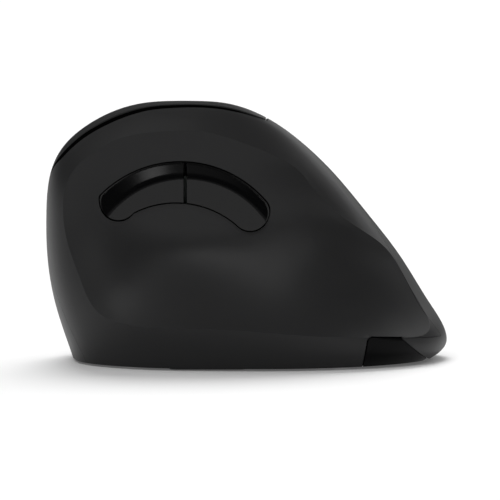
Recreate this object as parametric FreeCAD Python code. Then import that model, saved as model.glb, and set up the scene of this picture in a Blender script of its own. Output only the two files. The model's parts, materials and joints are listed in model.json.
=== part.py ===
import FreeCAD, Part
import math
import os

V = FreeCAD.Vector

# Overall size of the closed body
body_length = 115.0
body_width = 78.0
body_height = 75.5
floor_gap = 0.6

# Plan outline: stations from the underside to the ridge.
# Each row: height as a share of body_height, then front, rear, thumb and palm reach
# and the middle, as shares of body_length (x) and body_width (y), and the tail's roundness.
STATIONS = [
    (0.008, -0.439, 0.470, -0.429, 0.462, 0.026, 0.090, 2.05),
    (0.093, -0.458, 0.503, -0.468, 0.494, 0.026, 0.090, 2.10),
    (0.215, -0.482, 0.460, -0.494, 0.462, 0.000, 0.070, 1.95),
    (0.401, -0.501, 0.384, -0.462, 0.365, -0.035, 0.030, 1.80),
    (0.562, -0.502, 0.304, -0.423, 0.269, -0.070, -0.026, 1.75),
    (0.723, -0.490, 0.217, -0.378, 0.167, -0.104, -0.070, 1.75),
    (0.844, -0.447, 0.135, -0.306, 0.077, -0.130, -0.103, 1.75),
    (0.924, -0.380, 0.063, -0.251, 0.006, -0.148, -0.122, 1.80),
    (0.971, -0.314, -0.001, -0.213, -0.051, -0.152, -0.135, 1.90),
    (0.993, -0.254, -0.057, -0.180, -0.094, -0.155, -0.137, 2.00),
    (1.000, -0.178, -0.134, -0.149, -0.123, -0.156, -0.136, 2.00),
]
front_roundness = 2.6
outline_points = 20

# Thumb face: a leaning wall with a bowl for the thumb, flaring out to a lip above the skirt
face_y = -21.5
face_lean = 0.02
face_lean_height = 50.0
flare_top = 41.0
flare_fade_start = 5.0
flare_fade_run = 38.0
flare_fade = 22.0
least_flare = 4.0
least_flare_softness = 1.5
lip_middle_height = 12.2
lip_rear_slope = 0.085
lip_front_slope = 0.035
lip_front_rise = 5.0
lip_rise_start = -30.0
lip_rise_run = 20.0
lip_stations = 4
bowl_depth = 3.2
bowl_x = -17.0
bowl_z = 33.0
bowl_half_length = 17.0
bowl_half_height = 12.0
shoulder_swell = 2.6
shoulder_x = -41.0
shoulder_z = 28.0
shoulder_half_length = 9.0
shoulder_half_height = 14.0
heel_swell = 3.0
heel_x = 20.0
heel_half_length = 14.0
heel_top = 28.0
heel_fade_run = 16.0
front_turn = 2.8
front_turn_start = -46.0
front_turn_run = 10.0
tail_turn = 18.0
tail_turn_power = 1.6
tail_turn_softness = 0.35
tail_run = 20.0
tail_limit = 60.0
tail_turn_top = 58.0
tail_turn_fade = 0.75
tail_fade_start = 29.0
tail_fade_run = 22.0

# Net of points that the thumb face's spline passes through
sheet_low_x = -68.0
sheet_low_z = -8.0
sheet_step = 6.0
sheet_columns = 24
sheet_rows = 16

# Walls and gaps
wall = 2.2
face_wall = 2.4
seam_gap = 0.12
button_gap = 0.5
seat_gap = 0.15
flat_gap = 0.1
pin_play = 0.02

# Parting line between the thumb shell and the palm side, seen from above
PARTING_X = [-64.0, -56.5, -52.0, -47.0, -24.0, -4.0, 6.0, 12.0, 24.0, 36.0, 45.7, 53.0, 56.2, 66.0]
PARTING_Y = [-2.0, -8.0, -14.2, -15.4, -15.1, -14.3, -11.9, -8.0, -4.0, -4.6, -7.0, -7.9, -4.4, -4.4]

# Rear lower corner: gloss insert in the skirt and the flat facet behind it
insert_front_low = 33.1
insert_front_high = 34.7
insert_corner_radius = 1.2
insert_gap = 0.35
insert_inner_y = 1.0
insert_low = -1.0
facet_top_x = 43.9
facet_foot_x = 52.5
facet_tip_x = 56.1

# Finger side, in slope coordinates: u along the body, v down the slope, w out of it
button_rear_u = 5.5
left_button_low_v = -46.5
right_button_high_v = -36.0
right_button_low_v = -17.5
button_lip_depth = 13.0
ridge_lip_depth = 20.5
strip_inset = 0.5

# Hinge rod of the main buttons
hinge_u = 1.5
hinge_w = -7.2
hinge_rod_radius = 0.75
hinge_clearance = 0.05
hinge_lug_radius = 1.7
hinge_lug_length = 3.0
click_gap = 0.45

# Scroll wheel
wheel_u = -36.0
wheel_v = -41.25
wheel_w = -9.0
wheel_radius = 12.0
wheel_width = 6.0
hub_radius = 10.0
hub_width = 5.0
hub_rim = 1.6
hub_dish = 1.2
tyre_chamfer = 0.8
tyre_ribs = 30
tyre_rib_radius = 0.45
axle_radius = 1.0
axle_clearance = 0.06
axle_half_length = 7.2
wheel_slot_half_length = 12.8
wheel_slot_width = 7.4
wheel_click_travel = 0.5
carrier_plate = 1.1
carrier_gap = 0.4
carrier_nose = 3.5
carrier_wheel_gap = 0.6
carrier_bar = 1.6
carrier_depth = 3.0
carrier_rise = 2.6
carrier_tongue = 1.5

# Boards and their switches
board_thickness = 1.2
frame_plate = 1.5
switch_board_w = -15.6
switch_board_front_u = -50.0
switch_board_rear_u = 4.0
switch_board_high_v = -60.5
switch_board_low_v = -19.0
microswitch_length = 12.8
microswitch_width = 5.8
microswitch_height = 6.5
plunger_height = 0.6
plunger_length = 1.7
plunger_width = 2.8
left_switch_v = -51.4
right_switch_v = -27.0
main_switch_u = -37.0
plunger_u = main_switch_u - 2.75
rib_length = 2.5
rib_thickness = 1.6
tact_size = 6.0
tact_height = 3.8
tact_plunger_radius = 1.6
wheel_switch_u = -18.4
resolution_switch_u = -10.6
resolution_button_length = 10.0
resolution_button_width = 4.6
resolution_button_proud = 0.5
resolution_gap = 0.25
resolution_flange = 0.7
resolution_flange_w = -4.4
resolution_stem_radius = 1.3
resolution_travel = 0.4
encoder_length = 11.0
encoder_width = 3.4
encoder_rise = 2.8
encoder_gap = 0.3

# Places along the slope of the lugs, posts and legs round the hinge rod and the strip
left_lugs = (-53.6, -48.5)
right_lugs = (-33.5, -21.0)
frame_post_places = (-51.05, -41.25, -25.0)
rod_high_v = -54.8
rod_low_v = -19.0
rod_end_gap = 0.2
strip_leg_u = -4.5
strip_leg_thickness = 2.0
strip_leg_half_width = 3.0
frame_rear_u = 8.0
frame_margin_high = 3.0
frame_margin_low = 5.0
post_half_length = 1.6
post_half_width = 0.9
snug_gap = 0.12
roomy_gap = 0.6

# Thumb buttons: a banana outline seen from the thumb side, split into two
banana_top = [(-41.2, 48.8), (-17.5, 58.0), (5.2, 46.8)]
banana_bottom = [(-2.6, 40.6), (-17.5, 47.1), (-32.6, 44.1)]
banana_rear_tip = (3.2, 39.6)
banana_front_tip = (-39.8, 43.4)
banana_centre_x = -17.5
banana_centre_z = 36.0
banana_split_x = -17.5
banana_split_gap = 1.0
banana_gap = 0.5
banana_tip_growth = 0.7
banana_inner_y = -5.0
thumb_button_proud = 1.3
crease_centre_z = 26.5
crease_radius = 28.0
crease_upper_slope = 0.33
crease_lower_slope = 0.05
crease_rounding = 7.0
crease_outer_radius = 36.0
thumb_flange = 1.0
thumb_flange_y = -17.4
thumb_flange_thickness = 0.8
thumb_travel = 0.5
thumb_stem_radius = 1.5
thumb_stem_gap = 0.25
thumb_board_y = -10.6
thumb_board_x = (-41.0, -1.0)
thumb_board_z = (37.0, 54.0)
thumb_switch_places = [(-28.5, 51.0), (-6.5, 50.0)]
thumb_post_places = [(-38.0, 38.8), (-17.5, 41.0), (-9.0, 38.8)]
thumb_post_radius = 2.0

# Base tray
base_thickness = 2.0
base_rim_height = 6.0
base_rim = 1.4
screw_places = [(-33.0, -21.5), (27.0, -24.5), (-30.0, 27.0), (25.0, 25.0)]
screw_column_tops = [26.0, 20.0, 26.0, 26.0]
screw_column_radius = 2.5
screw_shank_radius = 0.95
screw_head_radius = 1.9
screw_head_height = 1.2
screw_head_depth = 1.3
screw_recess_length = 2.2
screw_recess_width = 0.5
screw_recess_depth = 0.4
screw_length = 8.0
screw_clearance = 0.08
column_clearance = 0.25

# Main board, motion sensor and power switch
board_x = (-42.0, -5.0)
board_y = (-16.0, 1.5)
board_z = 6.0
board_post_radius = 2.0
board_screw_places = [(-39.6, -13.6), (-39.6, -0.9), (-7.4, -13.6), (-7.4, -0.9)]
board_screw_radius = 0.7
board_screw_head_radius = 1.4
board_screw_head_height = 0.9
board_screw_length = 3.8
sensor_x = -22.0
sensor_y = -8.0
sensor_window_radius = 3.6
lens_radius = 2.4
lens_gap = 0.3
lens_plate_length = 12.0
lens_plate_width = 10.0
lens_plate_thickness = 1.2
lens_dimple_radius = 4.0
lens_dimple_depth = 0.8
sensor_size = 8.0
sensor_height = 2.2
power_x = -35.0
power_y = -8.0
power_travel = 3.0
power_knob_length = 5.0
power_knob_width = 4.4
knob_gap = 0.2
knob_grooves = 4
knob_groove_step = 1.0
knob_groove_depth = 0.3
knob_flange = 0.9
knob_flange_height = 0.6
power_switch_length = 6.0
power_switch_width = 4.0
power_tooth_length = 2.0
power_tooth_width = 1.2
power_tooth_depth = 1.0
power_tooth_gap = 0.4

controller_x = -12.0
controller_y = -8.0
controller_size = 7.0
controller_height = 1.0
power_switch_height = 2.6
foot_seat = 0.35

# Cell, its contacts, bay and door
cell_radius = 7.25
cell_length = 50.5
cell_cap_radius = 2.6
cell_cap_length = 1.4
cell_x = -20.0
cell_y = 12.5
cell_lift = 0.3
cell_side_gap = 0.4
spring_room = 3.0
contact_room = 2.4
bay_wall = 1.2
cell_wall_top = 13.0
contact_thickness = 0.4
contact_half_width = 4.5
contact_play = 0.2
leaf_half_height = 3.9
leaf_half_width = 3.5
door_thickness = 1.6
door_gap = 0.25
door_ledge = 0.9
door_hinge_x = -20.6
door_hinge_z = 1.5
door_pin_radius = 0.5
door_pin_clearance = 0.06
door_pin_length = 2.0
door_ribs = 3
door_rib_start = 8.0
door_rib_width = 0.75
door_rib_depth = 0.3
door_rib_half_length = 4.0
notch_radius = 4.0
notch_length = 2.5
notch_depth = 0.6

# Receiver and its bay
receiver_x = 3.5
receiver_y = -19.2
receiver_length = 19.0
receiver_width = 14.5
receiver_thickness = 5.6
plug_length = 12.0
plug_width = 12.0
plug_thickness = 4.5
plug_skin = 0.3
plug_root = 2.0
receiver_corner = 1.2

# Glide feet
foot_thickness = 0.9
foot_gap = 0.15
foot_places = [
    (-43.0, 3.0, 5.0, 20.0),
    (45.0, 5.0, 6.0, 14.0),
    (-11.0, -25.9, 22.0, 5.0),
    (-2.0, 29.3, 30.0, 5.0),
]

os.makedirs("parts", exist_ok=True)
far = 2.0 * body_length
clear = far / 4
past = 1.0
least_straight = 0.05
pieces = {}


def box(low, high):
    """Box between two corners."""
    size = [b - a for a, b in zip(low, high)]
    return Part.makeBox(size[0], size[1], size[2], V(*low))


def rod(radius, start, end):
    """Round bar from one point to another."""
    start = V(*start)
    along = V(*end) - start
    return Part.makeCylinder(radius, along.Length, start, along)


def bar_outline(x0, x1, y0, y1, z, radius):
    """Rectangle with rounded corners, as a face at height z."""
    straight = [
        (V(x0 + radius, y0, z), V(x1 - radius, y0, z)),
        (V(x1, y0 + radius, z), V(x1, y1 - radius, z)),
        (V(x1 - radius, y1, z), V(x0 + radius, y1, z)),
        (V(x0, y1 - radius, z), V(x0, y0 + radius, z)),
    ]
    centres = [(x1 - radius, y0 + radius), (x1 - radius, y1 - radius),
               (x0 + radius, y1 - radius), (x0 + radius, y0 + radius)]
    edges = []
    for i, (start, end) in enumerate(straight):
        if (end - start).Length > 1e-6:
            edges.append(Part.LineSegment(start, end).toShape())
        turn = math.radians(90 * i - 45)
        middle = V(centres[i][0] + radius * math.cos(turn), centres[i][1] + radius * math.sin(turn), z)
        edges.append(Part.Arc(end, middle, straight[(i + 1) % 4][0]).toShape())
    return Part.Face(Part.Wire(edges))


def bar(x0, x1, y0, y1, z0, z1, radius):
    """Upright block with rounded vertical corners."""
    return bar_outline(x0, x1, y0, y1, z0, radius).extrude(V(0, 0, z1 - z0))


def keep(name, shape):
    """File one finished piece under its node name."""
    pieces[name] = shape


def largest(shape):
    """The largest solid of a cut that leaves slivers."""
    return max(shape.Solids, key=lambda solid: solid.Volume)


# Body volume


def station(row):
    """A station's height, reaches and middle in millimetres."""
    share, front, rear, thumb, palm, mid_x, mid_y, tail_roundness = row
    return (share * body_height, front * body_length, rear * body_length, thumb * body_width,
            palm * body_width, mid_x * body_length, mid_y * body_width, tail_roundness)


def outline(row, inset, height):
    """Closed plan curve of a station: blunt at the front, pointed at the tail."""
    _, front, rear, thumb, palm, mid_x, mid_y, tail_roundness = station(row)
    points = []
    for i in range(outline_points):
        turn = 2 * math.pi * i / outline_points
        c = math.cos(turn)
        s = math.sin(turn)
        reach_x = (rear - mid_x if c > 0 else mid_x - front) - inset
        reach_y = (palm - mid_y if s > 0 else mid_y - thumb) - inset
        power = tail_roundness if c > 0 else front_roundness
        x = mid_x + reach_x * math.copysign(abs(c) ** (2 / power), c)
        y = mid_y + reach_y * math.copysign(abs(s) ** (2 / power), s)
        points.append(V(x, y, height))
    steps = [i / outline_points for i in range(outline_points + 1)]
    curve = Part.BSplineCurve()
    curve.interpolate(Points=points, PeriodicFlag=True, Parameters=steps)
    return Part.Wire([curve.toShape()])


def body_loft(inset):
    """The whole body by lofted plan outlines, drawn in by a wall where inset is over zero."""
    wires = []
    top_share = STATIONS[-1][0]
    rows = STATIONS[:-2] if inset > 0 else STATIONS
    for row in rows:
        height = station(row)[0] - inset * (row[0] / top_share) ** 3
        wires.append(outline(row, inset, height))
    if inset > 0:
        wires.insert(0, outline(STATIONS[0], inset, -floor_gap))
    return Part.makeLoft(wires, True, False)


def rear_edge(z):
    """How far back the body reaches at height z, smooth through the stations."""
    heights = [station(row)[0] for row in STATIONS[1:]]
    reaches = [station(row)[2] for row in STATIONS[1:]]
    last = len(heights) - 1
    z = min(max(z, heights[0]), heights[-1])
    i = max(k for k in range(last) if z >= heights[k])

    def slope(k):
        before = max(k - 1, 0)
        after = min(k + 1, last)
        return (reaches[after] - reaches[before]) / (heights[after] - heights[before])

    step = heights[i + 1] - heights[i]
    t = (z - heights[i]) / step
    return (reaches[i] * (1 + 2 * t) * (1 - t) ** 2 + reaches[i + 1] * t * t * (3 - 2 * t)
            + step * slope(i) * t * (1 - t) ** 2 - step * slope(i + 1) * t * t * (1 - t))


def lip_height(x):
    """Height of the lip between thumb face and skirt, rising towards the front."""
    run = max(0.0, (lip_rise_start - x) / lip_rise_run)
    slope = lip_rear_slope if x > 0 else lip_front_slope
    return lip_middle_height - slope * x + lip_front_rise * run ** 2


def thumb_edge(x, z):
    """Thumb-side y of the uncut body low down, between the stations round height z."""
    rows = [station(row) for row in STATIONS[:lip_stations]]
    i = max(k for k in range(lip_stations - 1) if z >= rows[k][0] or k == 0)
    share = (z - rows[i][0]) / (rows[i + 1][0] - rows[i][0])
    share = min(max(share, 0.0), 1.0)
    mixed = [a + (b - a) * share for a, b in zip(rows[i], rows[i + 1])]
    _, front, rear, thumb, _, mid_x, mid_y, tail_roundness = mixed
    reach = rear - mid_x if x > mid_x else mid_x - front
    power = tail_roundness if x > mid_x else front_roundness
    along = min(abs(x - mid_x) / reach, 0.99)
    return mid_y + (thumb - mid_y) * (1 - along ** power) ** (1 / power)


def on_lip(x):
    """Point where the lip crosses x on the uncut body."""
    return V(x, thumb_edge(x, lip_height(x)), lip_height(x))


def skirt_reach(x):
    """Thumb-side y that the thumb face flares out to at the lip: the skirt, then the facet."""
    corner = on_lip(facet_top_x)
    if x <= corner.x:
        return on_lip(x).y
    tip = on_lip(facet_tip_x)
    return corner.y + (x - corner.x) * (tip.y - corner.y) / (tip.x - corner.x)


def swell(value, middle, half):
    """Smooth bump of height one."""
    return math.exp(-((value - middle) / half) ** 2)


def smooth_step(value):
    """Zero below nought, one above one, and an easy curve between."""
    value = min(max(value, 0.0), 1.0)
    return value * value * (3 - 2 * value)


def thumb_face_y(x, z):
    """The thumb face as y over x and z."""
    y = face_y - face_lean * (face_lean_height - z)
    y += bowl_depth * swell(x, bowl_x, bowl_half_length) * swell(z, bowl_z, bowl_half_height)
    shoulder = swell(x, shoulder_x, shoulder_half_length) * swell(z, shoulder_z, shoulder_half_height)
    y -= shoulder_swell * shoulder
    heel = swell(x, heel_x, heel_half_length) * (1.0 - smooth_step((z - heel_top) / heel_fade_run))
    y -= heel_swell * heel
    y += front_turn * max(0.0, (front_turn_start - x) / front_turn_run) ** 2
    run = (x - rear_edge(min(z, tail_turn_top)) + tail_run) / tail_run
    turn = ((run + math.hypot(run, tail_turn_softness)) / 2) ** tail_turn_power
    turn *= 1.0 - tail_turn_fade * smooth_step((z - tail_fade_start) / tail_fade_run)
    y += tail_limit * math.tanh(tail_turn * turn / tail_limit)
    top = flare_top - flare_fade * smooth_step((x - flare_fade_start) / flare_fade_run)
    if z < top:
        flare = min(((top - z) / (top - lip_height(x))) ** 2, 2.0)
        spread = skirt_reach(x) - y
        y += flare * (spread - least_flare - math.hypot(spread + least_flare, least_flare_softness)) / 2
    return y


def thumb_sheet():
    """Spline face through the thumb face formula."""
    xs = [sheet_low_x + sheet_step * i for i in range(sheet_columns)]
    zs = [sheet_low_z + sheet_step * i for i in range(sheet_rows)]
    grid = [[V(x, thumb_face_y(x, z), z) for z in zs] for x in xs]
    surface = Part.BSplineSurface()
    surface.interpolate(grid)
    return surface.toShape()


sheet = thumb_sheet()


def thumb_side_of(offset):
    """Everything on the thumb side of the thumb face moved inwards by offset."""
    moved = sheet.copy()
    moved.translate(V(0, offset, 0))
    return moved.extrude(V(0, -far, 0))


# Slope frame


def slope_frame():
    """Placement whose X, Y and Z are the slope's u, v and w."""
    low = station(STATIONS[3])
    high = station(STATIONS[5])
    down = V(0, low[4] - high[4], low[0] - high[0]).normalize()
    out = V(1, 0, 0).cross(down)
    depth = out.dot(V(0, low[4], low[0]))
    matrix = FreeCAD.Matrix(1, 0, 0, 0,
                            0, down.y, out.y, out.y * depth,
                            0, down.z, out.z, out.z * depth,
                            0, 0, 0, 1)
    return FreeCAD.Placement(matrix), down, out


slope, slope_down, slope_out = slope_frame()


def on_slope(shape):
    """Move a shape drawn in u, v, w to its place."""
    placed = shape.copy()
    placed.Placement = slope.multiply(placed.Placement)
    return placed


# Knives


def palm_side_of(offset):
    """Everything on the palm side of the parting line moved over by offset."""
    curve = Part.BSplineCurve()
    curve.interpolate(Points=[V(x, y + offset, -clear) for x, y in zip(PARTING_X, PARTING_Y)])
    return curve.toShape().extrude(V(0, 0, far)).extrude(V(0, far, 0))


def corner_prism(grow):
    """Gloss insert's outline in the side view, as a prism through the skirt."""
    top_front = lip_height(insert_front_high) + grow
    top_rear = lip_height(facet_top_x) + grow
    front_slant = (insert_front_high - insert_front_low) / (top_front - insert_low)
    rear_slant = (facet_foot_x - facet_top_x) / (lip_height(facet_top_x) - floor_gap)
    foot = V(insert_front_low - grow - front_slant * (floor_gap - insert_low), -far / 2, insert_low)
    corner = V(insert_front_high - grow, -far / 2, top_front)
    shoulder = V(facet_top_x + grow, -far / 2, top_rear)
    heel = V(facet_top_x + grow + rear_slant * (top_rear - insert_low), -far / 2, insert_low)
    down = (foot - corner).normalize()
    back = (shoulder - corner).normalize()
    turn = math.acos(down.dot(back))
    radius = insert_corner_radius + grow
    start = corner + down * (radius / math.tan(turn / 2))
    end = corner + back * (radius / math.tan(turn / 2))
    middle = corner + (down + back).normalize() * (radius / math.sin(turn / 2) - radius)
    edges = [
        Part.LineSegment(foot, start).toShape(),
        Part.Arc(start, middle, end).toShape(),
        Part.LineSegment(end, shoulder).toShape(),
        Part.LineSegment(shoulder, heel).toShape(),
        Part.LineSegment(heel, foot).toShape(),
    ]
    return Part.Face(Part.Wire(edges)).extrude(V(0, far / 2 + insert_inner_y, 0))


def behind_insert(grow):
    """Everything lower than the lip and behind the insert's slanted rear edge."""
    high = lip_height(facet_top_x) + grow
    slant = (facet_foot_x - facet_top_x) / (lip_height(facet_top_x) - floor_gap)
    points = [
        V(facet_top_x + slant * (high - insert_low), -far / 2, insert_low),
        V(far, -far / 2, insert_low),
        V(far, -far / 2, lip_height(far) + grow),
        V(facet_top_x, -far / 2, high),
    ]
    return Part.Face(Part.makePolygon(points + points[:1])).extrude(V(0, far, 0))


def facet_cutter(offset):
    """Everything beyond the flat facet at the rear lower corner, moved inwards by offset."""
    top = on_lip(facet_top_x)
    tip = on_lip(facet_tip_x)
    foot = V(facet_foot_x, thumb_edge(facet_foot_x, floor_gap), floor_gap)
    along = (tip - top).normalize()
    normal = along.cross(foot - top).normalize()
    if normal.x < 0:
        normal = normal * -1
    across = normal.cross(along)
    start = top - along * far / 2 - across * far / 2 - normal * offset
    plane = Part.makePlane(far, far, start, normal, along)
    return plane.extrude(normal * far).common(behind_insert(0.0))


def hollow(inset, face_inset):
    """The body drawn in by inset, and by face_inset at the thumb face."""
    return body_loft(inset).cut(thumb_side_of(face_inset)).cut(facet_cutter(inset))


outer = body_loft(0.0).cut(thumb_side_of(0.0)).cut(facet_cutter(0.0))
inner = hollow(wall, face_wall)
shell = outer.cut(inner)
snug = hollow(wall + snug_gap, face_wall + snug_gap)
roomy = hollow(wall + roomy_gap, face_wall + roomy_gap)


# Thumb buttons


def banana(grow):
    """Outline of both thumb buttons together, as a prism through the thumb wall."""
    def outward(x, z):
        return V(x - banana_centre_x, 0, z - banana_centre_z).normalize() * grow

    top = [V(x, -clear, z) + outward(x, z) for x, z in banana_top]
    top[1] = V(banana_top[1][0], -clear, banana_top[1][1] + grow)
    bottom = [V(x, -clear, z) - outward(x, z) for x, z in banana_bottom]
    tip = banana_tip_growth * grow
    rear_tip = V(banana_rear_tip[0] + tip, -clear, banana_rear_tip[1] - tip)
    front_tip = V(banana_front_tip[0] - tip, -clear, banana_front_tip[1] - tip)
    edges = [Part.Arc(*top).toShape(), Part.Arc(top[2], rear_tip, bottom[0]).toShape(),
             Part.Arc(*bottom).toShape(), Part.Arc(bottom[2], front_tip, top[0]).toShape()]
    return Part.Face(Part.Wire(edges)).extrude(V(0, clear + banana_inner_y, 0))


def creased_dome():
    """Shallow dome round the banana's centre, with a rounded crease that follows its upper edge."""
    crease_y = thumb_face_y(banana_centre_x, crease_centre_z + crease_radius) - thumb_button_proud
    inner_y = crease_y + crease_lower_slope * crease_radius
    outer_y = crease_y + crease_upper_slope * (crease_outer_radius - crease_radius)
    centre = V(banana_centre_x, 0, crease_centre_z)
    profile = [
        V(0, inner_y, 0),
        V(crease_radius, crease_y, 0),
        V(crease_outer_radius, outer_y, 0),
        V(crease_outer_radius, thumb_flange_y, 0),
        V(0, thumb_flange_y, 0),
    ]
    corners = [point + centre for point in profile]
    dome = Part.Face(Part.makePolygon(corners + corners[:1])).revolve(centre, V(0, 1, 0), 360)
    rings = [edge for edge in dome.Edges if edge.Curve.TypeId == "Part::GeomCircle"]
    crease = [edge for edge in rings if abs(edge.Curve.Radius - crease_radius) < seam_gap]
    return dome.makeFillet(crease_rounding, crease)


def thumb_buttons():
    """Forward and back buttons: a proud creased cap, a flange behind the wall and a stem."""
    caps = banana(0.0).common(creased_dome())
    flange = banana(thumb_flange).common(
        box((-far, thumb_flange_y, 0), (far, thumb_flange_y + thumb_flange_thickness, far)))
    flange = flange.common(inner)
    both = caps.fuse(flange)
    half = banana_split_gap / 2
    for name, low, high, place in (
            ("forward_button", -far, banana_split_x - half, thumb_switch_places[0]),
            ("back_button", banana_split_x + half, far, thumb_switch_places[1])):
        one = both.common(box((low, -far, 0), (high, far, far)))
        stem_end = thumb_board_y - board_thickness - tact_height - thumb_travel - thumb_stem_gap
        stem = rod(thumb_stem_radius, (place[0], thumb_flange_y, place[1]), (place[0], stem_end, place[1]))
        if stem_end > thumb_flange_y + thumb_flange_thickness:
            one = one.fuse(stem)
        keep(name, largest(one))


# Shells


def button_region(gap):
    """The block of the slope that the button panel takes, grown by gap."""
    rear = button_rear_u + gap
    block = box((-far, -far, -button_lip_depth - 2 * gap), (rear, right_button_low_v + gap, far))
    ridge = box((-far, -far, -ridge_lip_depth - 2 * gap), (rear, left_button_low_v + gap, far))
    return on_slope(block.fuse(ridge))


def column(place, top):
    """Screw column standing on the base inside the shells."""
    foot_z = base_thickness + floor_gap + flat_gap
    return rod(screw_column_radius, (place[0], place[1], foot_z), (place[0], place[1], top))


def screw_hole(place, radius):
    """Hole for a case screw, from below the base to past the screw's end."""
    return rod(radius, (place[0], place[1], -past), (place[0], place[1], floor_gap + screw_length + past))


def shells():
    """Thumb shell, palm shell with the facet, and the gloss insert."""
    thumb = shell.cut(palm_side_of(-seam_gap / 2)).cut(corner_prism(insert_gap)).cut(behind_insert(seam_gap))
    thumb = thumb.cut(banana(banana_gap))
    for place, top in zip(screw_places[:2], screw_column_tops):
        thumb = thumb.fuse(column(place, top).common(outer))
    for place in thumb_post_places:
        post = rod(thumb_post_radius, (place[0], -clear, place[1]),
                   (place[0], thumb_board_y - board_thickness - seam_gap, place[1]))
        thumb = thumb.fuse(post.common(outer))
    for place in screw_places[:2]:
        thumb = thumb.cut(screw_hole(place, screw_shank_radius + screw_clearance))
    keep("thumb_shell", largest(thumb))
    palm = shell.common(palm_side_of(seam_gap / 2)).cut(corner_prism(seam_gap))
    palm = palm.fuse(shell.common(behind_insert(0.0)).cut(corner_prism(seam_gap)))
    palm = palm.cut(button_region(button_gap))
    for place, top in zip(screw_places[2:], screw_column_tops[2:]):
        palm = palm.fuse(column(place, top).common(outer))
        palm = palm.cut(screw_hole(place, screw_shank_radius + screw_clearance))
    keep("palm_shell", largest(palm))
    insert = shell.common(corner_prism(0.0)).cut(palm_side_of(-seam_gap))
    keep("rear_insert", largest(insert))


def button_panel():
    """Main buttons and the strip between them, cut from the finger side of the shell."""
    panel = shell.common(palm_side_of(button_gap)).common(button_region(0.0))
    upper = panel.common(on_slope(box((-far, -far, -far), (far, left_button_low_v, far))))
    lower = panel.common(on_slope(box((-far, right_button_high_v, -far), (far, far, far))))
    strip = panel.common(on_slope(box(
        (-far, left_button_low_v + strip_inset, -far), (far, right_button_high_v - strip_inset, far))))
    return largest(upper), largest(lower), largest(strip)


# Main buttons with lugs and ribs, and the hinge rod


def click_rib(v, low_w, roof):
    """Rib under a main button that presses its switch."""
    front = plunger_u - rib_length / 2
    rib = box((front, v - rib_thickness / 2, low_w), (front + rib_length, v + rib_thickness / 2, 0.0))
    return on_slope(rib).common(roof)


def hinge_lug(v):
    """Lug of a button round the hinge rod, up to the button's inside."""
    low = v - hinge_lug_length / 2
    high = v + hinge_lug_length / 2
    eye = on_slope(rod(hinge_lug_radius, (hinge_u, low, hinge_w), (hinge_u, high, hinge_w)))
    web = on_slope(box((hinge_u - hinge_lug_radius, low, hinge_w), (hinge_u + hinge_lug_radius, high, 0.0)))
    return eye.fuse(web).common(outer)


def main_buttons(upper, lower):
    """Left and right buttons, each with two lugs and a rib."""
    rib_low = switch_board_w + microswitch_height + plunger_height + click_gap
    for name, plate, lugs, switch_v in (
            ("left_button", upper, left_lugs, left_switch_v),
            ("right_button", lower, right_lugs, right_switch_v)):
        button = plate
        for v in lugs:
            button = button.fuse(hinge_lug(v))
        button = button.fuse(click_rib(switch_v, rib_low, outer))
        button = button.cut(on_slope(rod(
            hinge_rod_radius + hinge_clearance, (hinge_u, rod_high_v - rod_end_gap, hinge_w),
            (hinge_u, rod_low_v + rod_end_gap, hinge_w))))
        keep(name, largest(button))


def hinge_rod():
    """Steel rod that both main buttons turn on."""
    bar_shape = rod(hinge_rod_radius, (hinge_u, rod_high_v, hinge_w), (hinge_u, rod_low_v, hinge_w))
    keep("hinge_rod", on_slope(bar_shape))


# Wheel, its axle, carrier and surround


def slot_prism(half_length, width, low_w, high_w, u, v):
    """Long hole with round ends, drawn in slope coordinates."""
    half_width = width / 2
    radius = half_width - least_straight
    block = bar(u - half_length, u + half_length, v - half_width, v + half_width, low_w, high_w, radius)
    return on_slope(block)


def wheel():
    """Hub, ribbed tyre and axle on one axis along the slope."""
    def disc(radius, width):
        return rod(radius, (wheel_u, wheel_v - width / 2, wheel_w), (wheel_u, wheel_v + width / 2, wheel_w))
    hub = disc(hub_radius, hub_width).cut(disc(axle_radius, far))
    boss = disc(axle_radius + hub_rim, hub_width)
    for side in (-1, 1):
        dish = rod(hub_radius - hub_rim, (wheel_u, wheel_v + side * (hub_width / 2 - hub_dish), wheel_w),
                   (wheel_u, wheel_v + side * (hub_width / 2 + past), wheel_w))
        hub = hub.cut(dish.cut(boss))
    keep("wheel_hub", on_slope(hub))
    blank = disc(wheel_radius, wheel_width)
    rims = [edge for edge in blank.Edges if edge.Length > wheel_radius * 6]
    tyre = blank.makeChamfer(tyre_chamfer, rims).cut(disc(hub_radius, clear))
    for i in range(tyre_ribs):
        turn = 2 * math.pi * i / tyre_ribs
        u = wheel_u + wheel_radius * math.cos(turn)
        w = wheel_w + wheel_radius * math.sin(turn)
        tyre = tyre.cut(rod(tyre_rib_radius, (u, wheel_v - wheel_width, w), (u, wheel_v + wheel_width, w)))
    keep("wheel_tyre", on_slope(tyre))
    keep("wheel_axle", on_slope(rod(axle_radius, (wheel_u, wheel_v - axle_half_length, wheel_w),
                                    (wheel_u, wheel_v + axle_half_length, wheel_w))))


def carrier_sides():
    """Inner faces of the carrier's two plates."""
    reach = wheel_width / 2 + carrier_gap
    return wheel_v - reach, wheel_v + reach


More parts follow.
